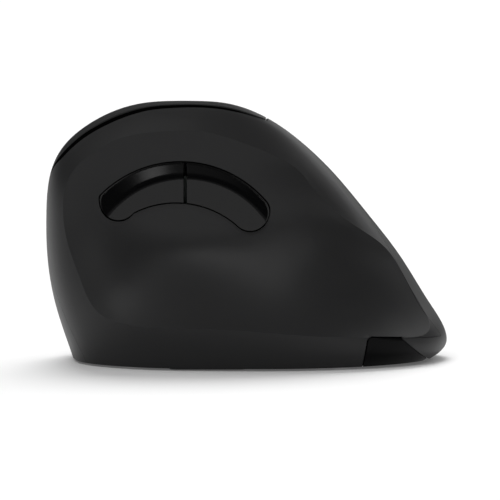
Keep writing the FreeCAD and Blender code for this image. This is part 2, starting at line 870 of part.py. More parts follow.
def wheel_carrier():
    """Two side plates with axle holes, a cross bar behind the wheel and a tongue over the wheel switch."""
    low, high = carrier_sides()
    front = wheel_u - carrier_nose
    back = wheel_u + wheel_radius + carrier_wheel_gap
    cross = back + carrier_bar
    floor_w = wheel_w - carrier_depth
    roof_w = wheel_w + carrier_rise
    carrier = None
    for y0, y1 in ((low - carrier_plate, low), (high, high + carrier_plate)):
        plate = box((front, y0, floor_w), (cross, y1, roof_w))
        carrier = plate if carrier is None else carrier.fuse(plate)
    carrier = carrier.fuse(box((back, low - carrier_plate, floor_w), (cross, high + carrier_plate, roof_w)))
    tongue_w = switch_board_w + tact_height + plunger_height + wheel_click_travel + flat_gap
    tongue = box((back, wheel_v - carrier_tongue, tongue_w),
                 (wheel_switch_u + carrier_tongue, wheel_v + carrier_tongue, tongue_w + carrier_plate))
    hole = rod(axle_radius + axle_clearance, (wheel_u, wheel_v - wheel_radius, wheel_w),
               (wheel_u, wheel_v + wheel_radius, wheel_w))
    keep("wheel_carrier", on_slope(carrier.fuse(tongue).cut(hole)))


def surround(strip):
    """Strip between the buttons: wheel slot, resolution button slot and a leg down to the board."""
    slot = slot_prism(wheel_slot_half_length, wheel_slot_width, -clear, clear, wheel_u, wheel_v)
    strip = strip.cut(slot).cut(resolution_prism(resolution_gap, -clear, clear))
    leg = box((strip_leg_u, wheel_v - strip_leg_half_width, switch_board_w),
              (strip_leg_u + strip_leg_thickness, wheel_v + strip_leg_half_width, 0.0))
    strip = strip.fuse(on_slope(leg).common(outer))
    keep("wheel_surround", largest(strip))


def resolution_prism(grow, low_w, high_w):
    """The resolution button's outline as a prism, grown by grow."""
    half = resolution_button_length / 2 + grow
    return slot_prism(half, resolution_button_width + 2 * grow, low_w, high_w, resolution_switch_u, wheel_v)


def resolution_button():
    """Small cap behind the wheel, with a flange under the strip and a stem to its switch."""
    flange_low = resolution_flange_w - resolution_flange
    cap = resolution_prism(0.0, resolution_flange_w - flat_gap, resolution_button_proud)
    flange = resolution_prism(resolution_flange, flange_low, resolution_flange_w)
    tip = switch_board_w + tact_height + plunger_height + resolution_travel + flat_gap
    stem = rod(resolution_stem_radius, (resolution_switch_u, wheel_v, tip),
               (resolution_switch_u, wheel_v, flange_low + flat_gap))
    keep("resolution_button", largest(cap.fuse(flange).fuse(on_slope(stem))))


# Switch board, its frame and what is soldered on it


def wheel_window(low_w, high_w):
    """Opening in the board and the frame for the wheel and its carrier."""
    low, high = carrier_sides()
    front = wheel_u - wheel_radius - 2 * carrier_wheel_gap
    back = wheel_u + wheel_radius + carrier_wheel_gap + carrier_bar + carrier_gap
    return on_slope(box((front, low - carrier_plate - carrier_gap, low_w),
                        (back, high + carrier_plate + carrier_gap, high_w)))


def tact_switch(u, v):
    """Square push switch with a round plunger, standing on the switch board."""
    half = tact_size / 2
    body = box((u - half, v - half, switch_board_w), (u + half, v + half, switch_board_w + tact_height))
    plunger = rod(tact_plunger_radius, (u, v, switch_board_w + tact_height - flat_gap),
                  (u, v, switch_board_w + tact_height + plunger_height))
    return on_slope(body.fuse(plunger))


def microswitch(v):
    """Main switch: a block with a small plunger near one end."""
    half = microswitch_length / 2
    top = switch_board_w + microswitch_height
    body = box((main_switch_u - half, v - microswitch_width / 2, switch_board_w),
               (main_switch_u + half, v + microswitch_width / 2, top))
    plunger = box((plunger_u - plunger_length / 2, v - plunger_width / 2, top - flat_gap),
                  (plunger_u + plunger_length / 2, v + plunger_width / 2, top + plunger_height))
    return on_slope(body.fuse(plunger))


def switch_board():
    """Board under the finger buttons and the frame plate that carries it between the shells."""
    under = switch_board_w - board_thickness
    board = on_slope(box((switch_board_front_u, switch_board_high_v, under),
                         (switch_board_rear_u, switch_board_low_v, switch_board_w)))
    board = board.cut(wheel_window(under - past, switch_board_w + past)).common(roomy)
    plate = on_slope(box((-far, switch_board_high_v - frame_margin_high, under - frame_plate),
                         (frame_rear_u, switch_board_low_v + frame_margin_low, under)))
    plate = plate.common(snug).cut(button_region(button_gap).cut(roomy))
    for v in frame_post_places:
        post = on_slope(box((hinge_u - post_half_length, v - post_half_width, under - frame_plate / 2),
                            (hinge_u + post_half_length, v + post_half_width, hinge_w + post_half_length)))
        plate = plate.fuse(post.common(snug))
    bore = rod(hinge_rod_radius + hinge_clearance, (hinge_u, -far, hinge_w), (hinge_u, far, hinge_w))
    plate = plate.cut(on_slope(bore))
    plate = plate.cut(wheel_window(under - 2 * frame_plate, switch_board_w + past))
    keep("button_frame", largest(plate))
    for v in frame_post_places:
        slot = box((hinge_u - post_half_length - seat_gap, v - post_half_width - seat_gap, under - past),
                   (hinge_u + post_half_length + seat_gap, v + post_half_width + seat_gap, 0))
        board = board.cut(on_slope(slot))
    keep("switch_board", largest(board))
    keep("left_microswitch", microswitch(left_switch_v))
    keep("right_microswitch", microswitch(right_switch_v))
    keep("wheel_switch", tact_switch(wheel_switch_u, wheel_v))
    keep("resolution_switch", tact_switch(resolution_switch_u, wheel_v))


def wheel_encoder():
    """Rotary encoder beside the carrier, with a slot that lets the axle drop as the wheel is pressed."""
    _, high = carrier_sides()
    near = high + carrier_plate + encoder_gap
    away = near + encoder_width
    half = encoder_length / 2
    body = box((wheel_u - half, near, switch_board_w), (wheel_u + half, away, wheel_w + encoder_rise))
    hole_radius = axle_radius + axle_clearance
    lowest_w = wheel_w - wheel_click_travel - hinge_clearance
    for w in (wheel_w, lowest_w):
        body = body.cut(rod(hole_radius, (wheel_u, near - past, w), (wheel_u, away + past, w)))
    body = body.cut(box((wheel_u - hole_radius, near - past, lowest_w),
                        (wheel_u + hole_radius, away + past, wheel_w)))
    keep("wheel_encoder", on_slope(body))


def thumb_board():
    """Upright board behind the thumb buttons with its two switches."""
    back = thumb_board_y
    front = thumb_board_y - board_thickness
    board = box((thumb_board_x[0], front, thumb_board_z[0]), (thumb_board_x[1], back, thumb_board_z[1]))
    keep("thumb_board", board)
    half = tact_size / 2
    for name, (x, z) in zip(("forward_switch", "back_switch"), thumb_switch_places):
        body = box((x - half, front - tact_height, z - half), (x + half, front, z + half))
        plunger = rod(tact_plunger_radius, (x, front - tact_height + flat_gap, z),
                      (x, front - tact_height - flat_gap, z))
        keep(name, body.fuse(plunger))


# Base tray


def bay():
    """Length and side limits of the cell's bay."""
    return (cell_x - spring_room, cell_x + cell_length + contact_room,
            cell_y - cell_radius - cell_side_gap, cell_y + cell_radius + cell_side_gap)


def receiver_bay():
    """Length and side limits of the receiver's recess."""
    return (receiver_x - door_gap, receiver_x + receiver_length + door_gap,
            receiver_y - receiver_width / 2 - door_gap, receiver_y + receiver_width / 2 + door_gap)


def base_floor():
    """Floor plate with a low rim that fits inside the shells."""
    inside = floor_gap + base_thickness
    filled = hollow(wall + seat_gap, face_wall + seat_gap)
    cavity = hollow(wall + seat_gap + base_rim, face_wall + seat_gap)
    rim = filled.common(box((-far, -far, floor_gap), (far, far, floor_gap + base_rim_height)))
    rim = rim.cut(cavity.common(box((-far, -far, inside), (far, far, far))))
    return filled.common(box((-far, -far, floor_gap), (far, far, inside))).fuse(rim)


def base_case():
    """Base with cell bay, receiver recess, posts, windows and foot pockets."""
    inside = floor_gap + base_thickness
    seat_z = inside - flat_gap
    x0, x1, y0, y1 = bay()
    walls = box((x0 - bay_wall, y0 - bay_wall, seat_z), (x1 + bay_wall, y1 + bay_wall, cell_wall_top))
    base = base_floor().fuse(walls.cut(box((x0, y0, -past), (x1, y1, cell_wall_top + past))))
    r0, r1, s0, s1 = receiver_bay()
    roof = floor_gap + receiver_thickness + door_gap
    block = box((r0 - bay_wall, s0 - bay_wall, seat_z), (r1 + bay_wall, s1 + bay_wall, roof + bay_wall))
    base = base.fuse(block).cut(box((r0, s0, -past), (r1, s1, roof)))
    base = base.cut(box((x0 + door_ledge, y0 + door_ledge, -past),
                        (x1 - door_ledge, y1 - door_ledge, inside + flat_gap)))
    for x, y in board_screw_places:
        base = base.fuse(rod(board_post_radius, (x, y, seat_z), (x, y, board_z)))
        base = base.cut(rod(board_screw_radius + screw_clearance, (x, y, inside), (x, y, board_z + past)))
    for x, y in screw_places:
        base = base.cut(rod(screw_column_radius + column_clearance, (x, y, inside), (x, y, clear)))
        base = base.cut(rod(screw_shank_radius + screw_clearance, (x, y, -past), (x, y, inside + past)))
        sunk = floor_gap + screw_head_depth
        base = base.cut(rod(screw_head_radius + seat_gap, (x, y, -past), (x, y, sunk)))
    window = rod(sensor_window_radius, (sensor_x, sensor_y, -past), (sensor_x, sensor_y, inside + past))
    base = base.cut(window)
    reach_x = power_knob_length / 2 + knob_gap
    reach_y = power_knob_width / 2 + knob_gap
    base = base.cut(box((power_x - reach_x, power_y - reach_y, -past),
                        (power_x + reach_x + power_travel, power_y + reach_y, inside + past)))
    for place in foot_places:
        base = base.cut(foot(place, foot_gap, floor_gap + foot_seat))
    pin_y0, pin_y1 = door_sides()
    base = base.cut(rod(door_pin_radius + door_pin_clearance,
                        (door_hinge_x, pin_y0 - door_pin_length, door_hinge_z),
                        (door_hinge_x, pin_y1 + door_pin_length, door_hinge_z)))
    keep("base_case", largest(base))


def foot(place, grow, top):
    """Glide foot with round ends, from the floor up into its pocket."""
    x, y, size_x, size_y = place
    half_x = size_x / 2 + grow
    half_y = size_y / 2 + grow
    radius = min(half_x, half_y) - least_straight
    return bar(x - half_x, x + half_x, y - half_y, y + half_y, 0.0, top, radius)


def feet():
    """The four glide feet."""
    for name, place in zip(("front_glide", "rear_glide", "thumb_glide", "palm_glide"), foot_places):
        keep(name, foot(place, 0.0, foot_thickness))


def case_screw(x, y):
    """Screw with a cross recess, driven up through the base."""
    low = floor_gap + flat_gap
    head = rod(screw_head_radius, (x, y, low), (x, y, floor_gap + screw_head_height))
    neck = floor_gap + screw_head_height - flat_gap
    shank = rod(screw_shank_radius, (x, y, neck), (x, y, floor_gap + screw_length))
    long_half = screw_recess_length / 2
    short_half = screw_recess_width / 2
    for half_x, half_y in ((long_half, short_half), (short_half, long_half)):
        head = head.cut(box((x - half_x, y - half_y, -past),
                            (x + half_x, y + half_y, low + screw_recess_depth)))
    return head.fuse(shank)


def board_screw(x, y):
    """Small screw through the main board into its post."""
    top = board_z + board_thickness
    head = rod(board_screw_head_radius, (x, y, top + pin_play), (x, y, top + board_screw_head_height))
    shank = rod(board_screw_radius, (x, y, top - board_screw_length), (x, y, top + flat_gap))
    return head.fuse(shank)


def screws():
    """Case screws up into the shells' columns, and the board screws."""
    case = [case_screw(x, y) for x, y in screw_places]
    keep("case_screws", case[0].fuse(case[1:]))
    board = [board_screw(x, y) for x, y in board_screw_places]
    keep("board_screws", board[0].fuse(board[1:]))


def main_board():
    """Main board on its posts, with the sensor chip, lens, controller and power switch."""
    top = board_z + board_thickness
    board = box((board_x[0], board_y[0], board_z), (board_x[1], board_y[1], top))
    under = board_z - past
    over = top + past
    for x, y in board_screw_places:
        board = board.cut(rod(board_screw_radius + screw_clearance, (x, y, under), (x, y, over)))
    window = rod(lens_radius + lens_gap, (sensor_x, sensor_y, under), (sensor_x, sensor_y, over))
    keep("main_board", board.cut(window))
    for name, x, y, size, height in (
            ("sensor_chip", sensor_x, sensor_y, sensor_size, sensor_height),
            ("controller_chip", controller_x, controller_y, controller_size, controller_height)):
        half = size / 2
        keep(name, box((x - half, y - half, top), (x + half, y + half, top + height)))
    inside = floor_gap + base_thickness
    plate_x = lens_plate_length / 2
    plate_y = lens_plate_width / 2
    lens = box((sensor_x - plate_x, sensor_y - plate_y, inside + pin_play),
               (sensor_x + plate_x, sensor_y + plate_y, inside + lens_plate_thickness))
    lens = lens.fuse(rod(lens_radius, (sensor_x, sensor_y, inside + lens_plate_thickness / 2),
                         (sensor_x, sensor_y, top - flat_gap)))
    dimple_z = inside + lens_dimple_depth - lens_dimple_radius
    dimple = Part.makeSphere(lens_dimple_radius, V(sensor_x, sensor_y, dimple_z))
    keep("sensor_lens", lens.cut(dimple))
    body_low = board_z - power_switch_height
    half_x = power_switch_length / 2
    half_y = power_switch_width / 2
    switch = box((power_x - half_x, power_y - half_y, body_low),
                 (power_x + half_x + power_travel, power_y + half_y, board_z))
    reach_x = power_tooth_length / 2 + knob_gap
    reach_y = power_tooth_width / 2 + knob_gap
    slot_top = body_low + power_tooth_depth + power_tooth_gap
    slot = box((power_x - reach_x, power_y - reach_y, body_low - past),
               (power_x + reach_x + power_travel, power_y + reach_y, slot_top))
    keep("power_switch", switch.cut(slot))


def power_slider():
    """Knob in the base slot with a flange above the floor and a tooth in the switch."""
    inside = floor_gap + base_thickness
    body_low = board_z - power_switch_height
    half_x = power_knob_length / 2
    half_y = power_knob_width / 2
    knob = box((power_x - half_x, power_y - half_y, floor_gap + knob_gap),
               (power_x + half_x, power_y + half_y, inside + knob_gap))
    for i in range(knob_grooves):
        x = power_x + knob_groove_step * (i - (knob_grooves - 1) / 2)
        knob = knob.cut(box((x - knob_gap, power_y - far, -past),
                            (x + knob_gap, power_y + far, floor_gap + knob_gap + knob_groove_depth)))
    flange_x = half_x + knob_flange
    flange_y = half_y + knob_flange
    flange = box((power_x - flange_x, power_y - flange_y, inside + flat_gap),
                 (power_x + flange_x, power_y + flange_y, inside + knob_flange_height))
    tooth_x = power_tooth_length / 2
    tooth_y = power_tooth_width / 2
    tooth = box((power_x - tooth_x, power_y - tooth_y, inside + flat_gap),
                (power_x + tooth_x, power_y + tooth_y, body_low + power_tooth_depth))
    keep("power_slider", knob.fuse(flange).fuse(tooth))


# Cell, contacts and door


def door_sides():
    """Side limits of the door, inside the bay's ledges."""
    _, _, y0, y1 = bay()
    return y0 + door_ledge + door_gap, y1 - door_ledge - door_gap


def battery_door():
    """Plate flush with the underside, round at the hinge end, with two pins and a finger notch."""
    y0, y1 = door_sides()
    _, x1, _, _ = bay()
    round_end = door_hinge_z - floor_gap
    end = x1 - door_ledge - door_gap
    door = box((door_hinge_x, y0, floor_gap), (end, y1, floor_gap + door_thickness))
    door = door.fuse(rod(round_end, (door_hinge_x, y0, door_hinge_z), (door_hinge_x, y1, door_hinge_z)))
    reach = door_pin_length - knob_gap
    pins = rod(door_pin_radius, (door_hinge_x, y0 - reach, door_hinge_z),
               (door_hinge_x, y1 + reach, door_hinge_z))
    notch_x = end + notch_radius - notch_length
    notch_y = (y0 + y1) / 2
    notch = rod(notch_radius, (notch_x, notch_y, -past), (notch_x, notch_y, floor_gap + notch_depth))
    door = door.fuse(pins).cut(notch)
    for i in range(door_ribs):
        x = end - door_rib_start + 2 * door_rib_width * i
        door = door.cut(box((x, cell_y - door_rib_half_length, -past),
                            (x + door_rib_width, cell_y + door_rib_half_length, floor_gap + door_rib_depth)))
    keep("battery_door", door)


def cell_axis_z():
    """Height of the cell's axis above the desk."""
    return floor_gap + door_thickness + cell_lift + cell_radius


def cell():
    """Cell lying along the body, with its stepped cap."""
    z = cell_axis_z()
    end = cell_x + cell_length
    body = rod(cell_radius, (cell_x, cell_y, z), (end - cell_cap_length, cell_y, z))
    cap = rod(cell_cap_radius, (end - cell_cap_length - flat_gap, cell_y, z), (end, cell_y, z))
    keep("battery_cell", body.fuse(cap))


def contact_plate(x):
    """Flat contact standing against an end wall of the bay."""
    z = cell_axis_z()
    return box((x, cell_y - contact_half_width, z - contact_half_width),
               (x + contact_thickness, cell_y + contact_half_width, z + contact_half_width))


def contacts():
    """Bowed leaf at the plain end of the cell and a flat plate at its cap."""
    x0, x1, _, _ = bay()
    z = cell_axis_z()
    back = x0 + pin_play
    crown = cell_x - contact_play
    rise = crown - back
    bow = (leaf_half_height ** 2 + rise ** 2) / (2 * rise)
    start = (crown - bow, cell_y - leaf_half_width, z)
    end = (crown - bow, cell_y + leaf_half_width, z)
    leaf = rod(bow, start, end).cut(rod(bow - contact_thickness, start, end))
    leaf = leaf.common(box((back, -far, -far), (far, far, far)))
    keep("spring_contact", contact_plate(back).fuse(leaf))
    keep("flat_contact", contact_plate(x1 - pin_play - contact_thickness))


# Receiver


def receiver():
    """Small housing and its metal plug, lying in the recess."""
    low = floor_gap + flat_gap
    high = low + receiver_thickness
    split = receiver_x + receiver_length - plug_length
    half = receiver_width / 2
    housing = bar(receiver_x, split, receiver_y - half, receiver_y + half, low, high, receiver_corner)
    keep("receiver_housing", housing)
    mid = (low + high) / 2
    plug = box((split, receiver_y - plug_width / 2, mid - plug_thickness / 2),
               (split + plug_length, receiver_y + plug_width / 2, mid + plug_thickness / 2))
    hollow_half = plug_width / 2 - plug_skin
    mouth = box((split + plug_root, receiver_y - hollow_half, mid),
                (split + plug_length + past, receiver_y + hollow_half, mid + plug_thickness / 2 - plug_skin))
    keep("receiver_plug", plug.cut(mouth))


thumb_buttons()
shells()
upper, lower, strip = button_panel()
main_buttons(upper, lower)
hinge_rod()
wheel()
wheel_carrier()
surround(strip)
resolution_button()
switch_board()
wheel_encoder()
thumb_board()
base_case()
feet()
screws()
main_board()
power_slider()
battery_door()
cell()
contacts()
receiver()


# The origin is under the middle of the box around the body
skin = [pieces[name] for name in ("thumb_shell", "palm_shell", "left_button", "right_button",
                                  "rear_insert", "wheel_tyre")]
bounds = Part.Compound(skin).optimalBoundingBox(False, False)
shift = V(-(bounds.XMin + bounds.XMax) / 2, -(bounds.YMin + bounds.YMax) / 2, 0)
for name, shape in pieces.items():
    shape.translate(shift)
    shape.exportStep(os.path.join("parts", name + ".step"))

# Places and directions of the joints, in millimetres from the origin
print("shift", shift)
print("finger_hinge", slope.multVec(V(hinge_u, 0, hinge_w)) + shift)
print("wheel_centre", slope.multVec(V(wheel_u, wheel_v, wheel_w)) + shift)
print("door_hinge", V(door_hinge_x, cell_y, door_hinge_z) + shift)
print("slope_down", slope_down)
print("slope_out", slope_out)
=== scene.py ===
import json
import math

import bpy
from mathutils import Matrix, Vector


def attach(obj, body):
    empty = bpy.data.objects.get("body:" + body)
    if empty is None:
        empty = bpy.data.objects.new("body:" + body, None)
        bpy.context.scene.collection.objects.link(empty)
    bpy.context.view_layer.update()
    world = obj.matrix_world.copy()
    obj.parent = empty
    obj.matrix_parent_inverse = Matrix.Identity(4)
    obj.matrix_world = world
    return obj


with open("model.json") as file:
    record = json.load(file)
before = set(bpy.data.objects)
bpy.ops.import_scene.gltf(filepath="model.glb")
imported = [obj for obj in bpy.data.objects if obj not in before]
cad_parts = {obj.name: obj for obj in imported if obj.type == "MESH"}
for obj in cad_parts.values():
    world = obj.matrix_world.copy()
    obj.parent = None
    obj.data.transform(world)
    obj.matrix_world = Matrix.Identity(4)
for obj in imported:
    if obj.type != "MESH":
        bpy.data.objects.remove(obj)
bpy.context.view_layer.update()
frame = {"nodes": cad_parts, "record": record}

MM = 0.001

# The photograph's frame: 500 pixels a side, and what one pixel measures at the object
PICTURE_SIDE = 500
PIXEL = 0.2886 * MM
CENTRE_PIXEL_X = 247.1
FLOOR_PIXEL_Y = 360.0

# Camera: a little above the desk and far away, with a long lens. Sensor and lens are in millimetres
CAMERA_ELEVATION = math.radians(4.5)
SENSOR_WIDTH = 36.0
LENS = 420.0
NEAREST = 0.01
FARTHEST = 50.0

# Bands of painted shade on the thumb shell: flat black strips that stand in for the shadow in the gaps
# beside it. Their rim is read from the corners of the walls cut straight through that shell, thinned by
# angle. They stand a little over the skin, are sunk below it, and narrow to their tips
WALL_SLANT = 0.02
RIM_STEP = math.radians(0.8)
RIM_LOOK = math.radians(3.0)
BAND_LIFT = 0.04 * MM
BAND_SUNK = 0.2 * MM
BAND_TAPER = 0.12
BAND_TIP = 0.15

# Painted shade along the gap between thumb shell and left button, a black strip for the shadow in that gap,
# by angles round a point inside the body.
# Its corners lie within GAP_SKIN of the outermost ones
GAP_CENTRE_X = -15.0 * MM
GAP_CENTRE_Z = 30.0 * MM
GAP_FRONT = math.radians(151.5)
GAP_REAR = math.radians(62.5)
GAP_FRONT_WIDTH = 2.2 * MM
GAP_REAR_WIDTH = 0.45 * MM
GAP_FACING = 0.3
GAP_SKIN = 0.4 * MM
GAP_WAY = Vector((0.0, -1.0, -0.3))

# Painted shade round the opening over the thumb buttons, a black strip for the shadow in the gap there, by
# angles round a point just below them. Its corners lie from WELL_LEAST to WELL_MOST away from that point,
# and within WELL_SKIN of the outermost ones
WELL_CENTRE_X = -17.6 * MM
WELL_CENTRE_Z = 36.0 * MM
WELL_FRONT = math.radians(158.0)
WELL_REAR = math.radians(14.0)
WELL_LEAST = 15.0 * MM
WELL_MOST = 28.0 * MM
WELL_SKIN = 0.25 * MM
WELL_REAR_WIDTH = 0.45 * MM
WELL_FRONT_WIDTH = 0.35 * MM

# Painted shade in the slot between the main buttons and the palm shell, a black sheet just under it for the
# shade inside the slot, by angles round a line inside the body.
# It follows the corners of the palm shell's front edge that lie within SLOT_SHADE_SKIN of the outermost ones
SLOT_SHADE_FRONT_X = 5.46 * MM
SLOT_SHADE_REAR_X = 5.89 * MM
SLOT_SHADE_CENTRE = Vector((0.0, 3.0, 45.0)) * MM
SLOT_SHADE_LOWEST_Z = 40.0 * MM
SLOT_SHADE_SUNK = 0.15 * MM
SLOT_SHADE_THICKNESS = 1.2 * MM
SLOT_SHADE_SLACK = 0.03 * MM
SLOT_SHADE_REACH = math.radians(6.0)
SLOT_SHADE_SKIN = 1.0 * MM
SLOT_SHADE_STEP = math.radians(0.5)

# White desk: a round plate just under the glides, with a little glow of its own where it is seen
FLOOR_RADIUS = 9.0
FLOOR_SIDES = 64
FLOOR_DROP = 0.05 * MM
FLOOR_COLOUR = 0.88
FLOOR_LIFT = 0.10

# Room, as height of the direction and brightness: a pale wall low down, dark above it, a grey ceiling
ROOM = [(0.0, 0.35), (0.06, 0.3), (0.14, 0.05), (0.40, 0.05), (0.62, 0.32), (1.0, 0.32)]

# Grain of moulded plastic, and the faint patches that vary its tint and gloss by a share
GRAIN_SIZE = 0.25 * MM
GRAIN_HEIGHT = 0.03 * MM
GRAIN_DETAIL = 2.0
PATCHES_PER_METRE = 38.0
PATCH_DETAIL = 4.0
PATCH_TINT = 0.04
PATCH_GLOSS = 0.08

# Finishes by name. All but insert_black and painted_gap_shade are slots of the record
FINISHES = {
    "soft_black": {"colour": (0.0175, 0.0175, 0.0180), "roughness": 0.46, "grain": 0.3, "specular": 0.23},
    "gloss_black": {"colour": (0.0015, 0.0015, 0.0017), "roughness": 0.09, "grain": 0.03, "specular": 0.26},
    # The finish below is painted shade: flat black without gloss, standing in for the shadow inside gaps and
    # slots
    "painted_gap_shade": {"colour": (0.001, 0.001, 0.001), "roughness": 0.6, "grain": 0.2, "specular": 0.0},
    "insert_black": {"colour": (0.0012, 0.0012, 0.0014), "roughness": 0.14, "specular": 0.06},
    "base_black": {"colour": (0.014, 0.014, 0.0145), "roughness": 0.45, "grain": 0.4},
    "glide_grey": {"colour": (0.05, 0.05, 0.052), "roughness": 0.35, "grain": 0.1},
    "tyre_rubber": {"colour": (0.012, 0.012, 0.012), "roughness": 0.6, "grain": 0.4},
    "hub_grey": {"colour": (0.10, 0.10, 0.105), "roughness": 0.35, "grain": 0.1},
    "frame_grey": {"colour": (0.06, 0.06, 0.062), "roughness": 0.45, "grain": 0.2},
    "steel": {"colour": (0.56, 0.56, 0.55), "roughness": 0.28, "grain": 0.1, "metallic": 1.0},
    "board_green": {"colour": (0.003, 0.026, 0.012), "roughness": 0.4, "grain": 0.2},
    "switch_black": {"colour": (0.01, 0.01, 0.01), "roughness": 0.4, "grain": 0.2},
    "lens_clear": {"colour": (0.30, 0.32, 0.34), "roughness": 0.12},
    "cell_wrap": {"colour": (0.05, 0.10, 0.30), "roughness": 0.3, "grain": 0.1},
}


def node_tree(owner):
    """Empty node tree of a material or a world: its nodes and its links."""
    owner.use_nodes = True
    nodes = owner.node_tree.nodes
    nodes.clear()
    return nodes, owner.node_tree.links


def add_camera():
    """Camera at the photograph's angle, framed so that the object lies where it does there."""
    aim_x = (PICTURE_SIDE / 2 - CENTRE_PIXEL_X) * PIXEL
    aim_z = (FLOOR_PIXEL_Y - PICTURE_SIDE / 2) * PIXEL / math.cos(CAMERA_ELEVATION)
    half_angle = math.atan(SENSOR_WIDTH / 2 / LENS)
    distance = PICTURE_SIDE / 2 * PIXEL / math.tan(half_angle)
    back = Vector((0.0, -math.cos(CAMERA_ELEVATION), math.sin(CAMERA_ELEVATION)))
    data = bpy.data.cameras.new("camera")
    data.lens = LENS
    data.sensor_width = SENSOR_WIDTH
    data.clip_start = NEAREST
    data.clip_end = FARTHEST
    camera = bpy.data.objects.new("camera", data)
    camera.location = Vector((aim_x, 0.0, aim_z)) + back * distance
    camera.rotation_mode = "QUATERNION"
    camera.rotation_quaternion = (-back).to_track_quat("-Z", "Y")
    bpy.context.scene.collection.objects.link(camera)
    bpy.context.scene.camera = camera


def add_floor():
    """Wide white desk that keeps the object's shadow."""
    bpy.ops.mesh.primitive_circle_add(vertices=FLOOR_SIDES, radius=FLOOR_RADIUS, fill_type="NGON")
    floor = bpy.context.object
    floor.name = "desk"
    floor.location.z = -FLOOR_DROP
    material = bpy.data.materials.new("desk_white")
    nodes, links = node_tree(material)
    surface = nodes.new("ShaderNodeBsdfDiffuse")
    surface.inputs["Color"].default_value = (FLOOR_COLOUR, FLOOR_COLOUR, FLOOR_COLOUR, 1.0)
    glow = nodes.new("ShaderNodeEmission")
    path = nodes.new("ShaderNodeLightPath")
    direct = nodes.new("ShaderNodeMath")
    direct.operation = "MAXIMUM"
    seen = nodes.new("ShaderNodeMath")
    seen.operation = "MAXIMUM"
    lift = nodes.new("ShaderNodeMath")
    lift.operation = "MULTIPLY"
    lift.inputs[1].default_value = FLOOR_LIFT
    both = nodes.new("ShaderNodeAddShader")
    output = nodes.new("ShaderNodeOutputMaterial")
    links.new(path.outputs["Is Camera Ray"], direct.inputs[0])
    links.new(path.outputs["Is Glossy Ray"], direct.inputs[1])
    links.new(direct.outputs[0], seen.inputs[0])
    links.new(path.outputs["Is Transmission Ray"], seen.inputs[1])
    links.new(seen.outputs[0], lift.inputs[0])
    links.new(lift.outputs[0], glow.inputs["Strength"])
    links.new(surface.outputs[0], both.inputs[0])
    links.new(glow.outputs[0], both.inputs[1])
    links.new(both.outputs[0], output.inputs["Surface"])
    floor.data.materials.append(material)


def add_world():
    """Room round the desk, its brightness set by the height of the direction."""
    world = bpy.data.worlds.new("studio")
    bpy.context.scene.world = world
    nodes, links = node_tree(world)
    place = nodes.new("ShaderNodeTexCoord")
    split = nodes.new("ShaderNodeSeparateXYZ")
    ramp = nodes.new("ShaderNodeValToRGB")
    steps = ramp.color_ramp.elements
    while len(steps) < len(ROOM):
        steps.new(1.0)
    for step, (height, level) in zip(steps, ROOM):
        step.position = height
        step.color = (level, level, level, 1.0)
    background = nodes.new("ShaderNodeBackground")
    output = nodes.new("ShaderNodeOutputWorld")
    links.new(place.outputs["Generated"], split.inputs["Vector"])
    links.new(split.outputs["Z"], ramp.inputs["Fac"])
    links.new(ramp.outputs["Color"], background.inputs["Color"])
    links.new(background.outputs[0], output.inputs["Surface"])


def add_sun(name, azimuth, elevation, spread, strength):
    """Even soft light from one side of the sky, its angles given in degrees."""
    turn = math.radians(azimuth)
    rise = math.radians(elevation)
    back = Vector((math.sin(turn) * math.cos(rise), -math.cos(turn) * math.cos(rise), math.sin(rise)))
    data = bpy.data.lights.new(name, "SUN")
    data.energy = strength
    data.angle = math.radians(spread)
    lamp = bpy.data.objects.new(name, data)
    lamp.rotation_mode = "QUATERNION"
    lamp.rotation_quaternion = (-back).to_track_quat("-Z", "Y")
    bpy.context.scene.collection.objects.link(lamp)
    return lamp


def plastic(name, colour, roughness, grain=0.0, specular=0.5, metallic=0.0):
    """Moulded plastic, or metal: fine grain in the surface, and faint patches in its tint and gloss."""
    material = bpy.data.materials.new(name)
    nodes, links = node_tree(material)
    place = nodes.new("ShaderNodeTexCoord")
    patches = nodes.new("ShaderNodeTexNoise")
    patches.inputs["Scale"].default_value = PATCHES_PER_METRE
    patches.inputs["Detail"].default_value = PATCH_DETAIL
    tint = nodes.new("ShaderNodeMixRGB")
    tint.inputs["Color1"].default_value = (*[level * (1.0 - PATCH_TINT) for level in colour], 1.0)
    tint.inputs["Color2"].default_value = (*[level * (1.0 + PATCH_TINT) for level in colour], 1.0)
    gloss = nodes.new("ShaderNodeMapRange")
    gloss.inputs["To Min"].default_value = roughness * (1.0 - PATCH_GLOSS)
    gloss.inputs["To Max"].default_value = roughness * (1.0 + PATCH_GLOSS)
    pits = nodes.new("ShaderNodeTexNoise")
    pits.inputs["Scale"].default_value = 1.0 / GRAIN_SIZE
    pits.inputs["Detail"].default_value = GRAIN_DETAIL
    bump = nodes.new("ShaderNodeBump")
    bump.inputs["Strength"].default_value = grain
    bump.inputs["Distance"].default_value = GRAIN_HEIGHT
    shader = nodes.new("ShaderNodeBsdfPrincipled")
    shader.inputs["Specular IOR Level"].default_value = specular
    shader.inputs["Metallic"].default_value = metallic
    output = nodes.new("ShaderNodeOutputMaterial")
    links.new(place.outputs["Object"], patches.inputs["Vector"])
    links.new(place.outputs["Object"], pits.inputs["Vector"])
    links.new(patches.outputs["Fac"], tint.inputs["Fac"])
    links.new(patches.outputs["Fac"], gloss.inputs["Value"])
    links.new(tint.outputs["Color"], shader.inputs["Base Color"])
    links.new(gloss.outputs["Result"], shader.inputs["Roughness"])
    links.new(pits.outputs["Fac"], bump.inputs["Height"])
    links.new(bump.outputs["Normal"], shader.inputs["Normal"])
    links.new(shader.outputs[0], output.inputs["Surface"])
    return material


def slots_of_nodes():
    """Slot name of each node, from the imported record."""
    return {row["node"]: row["material_slot"] for row in frame["record"]["subparts"]}


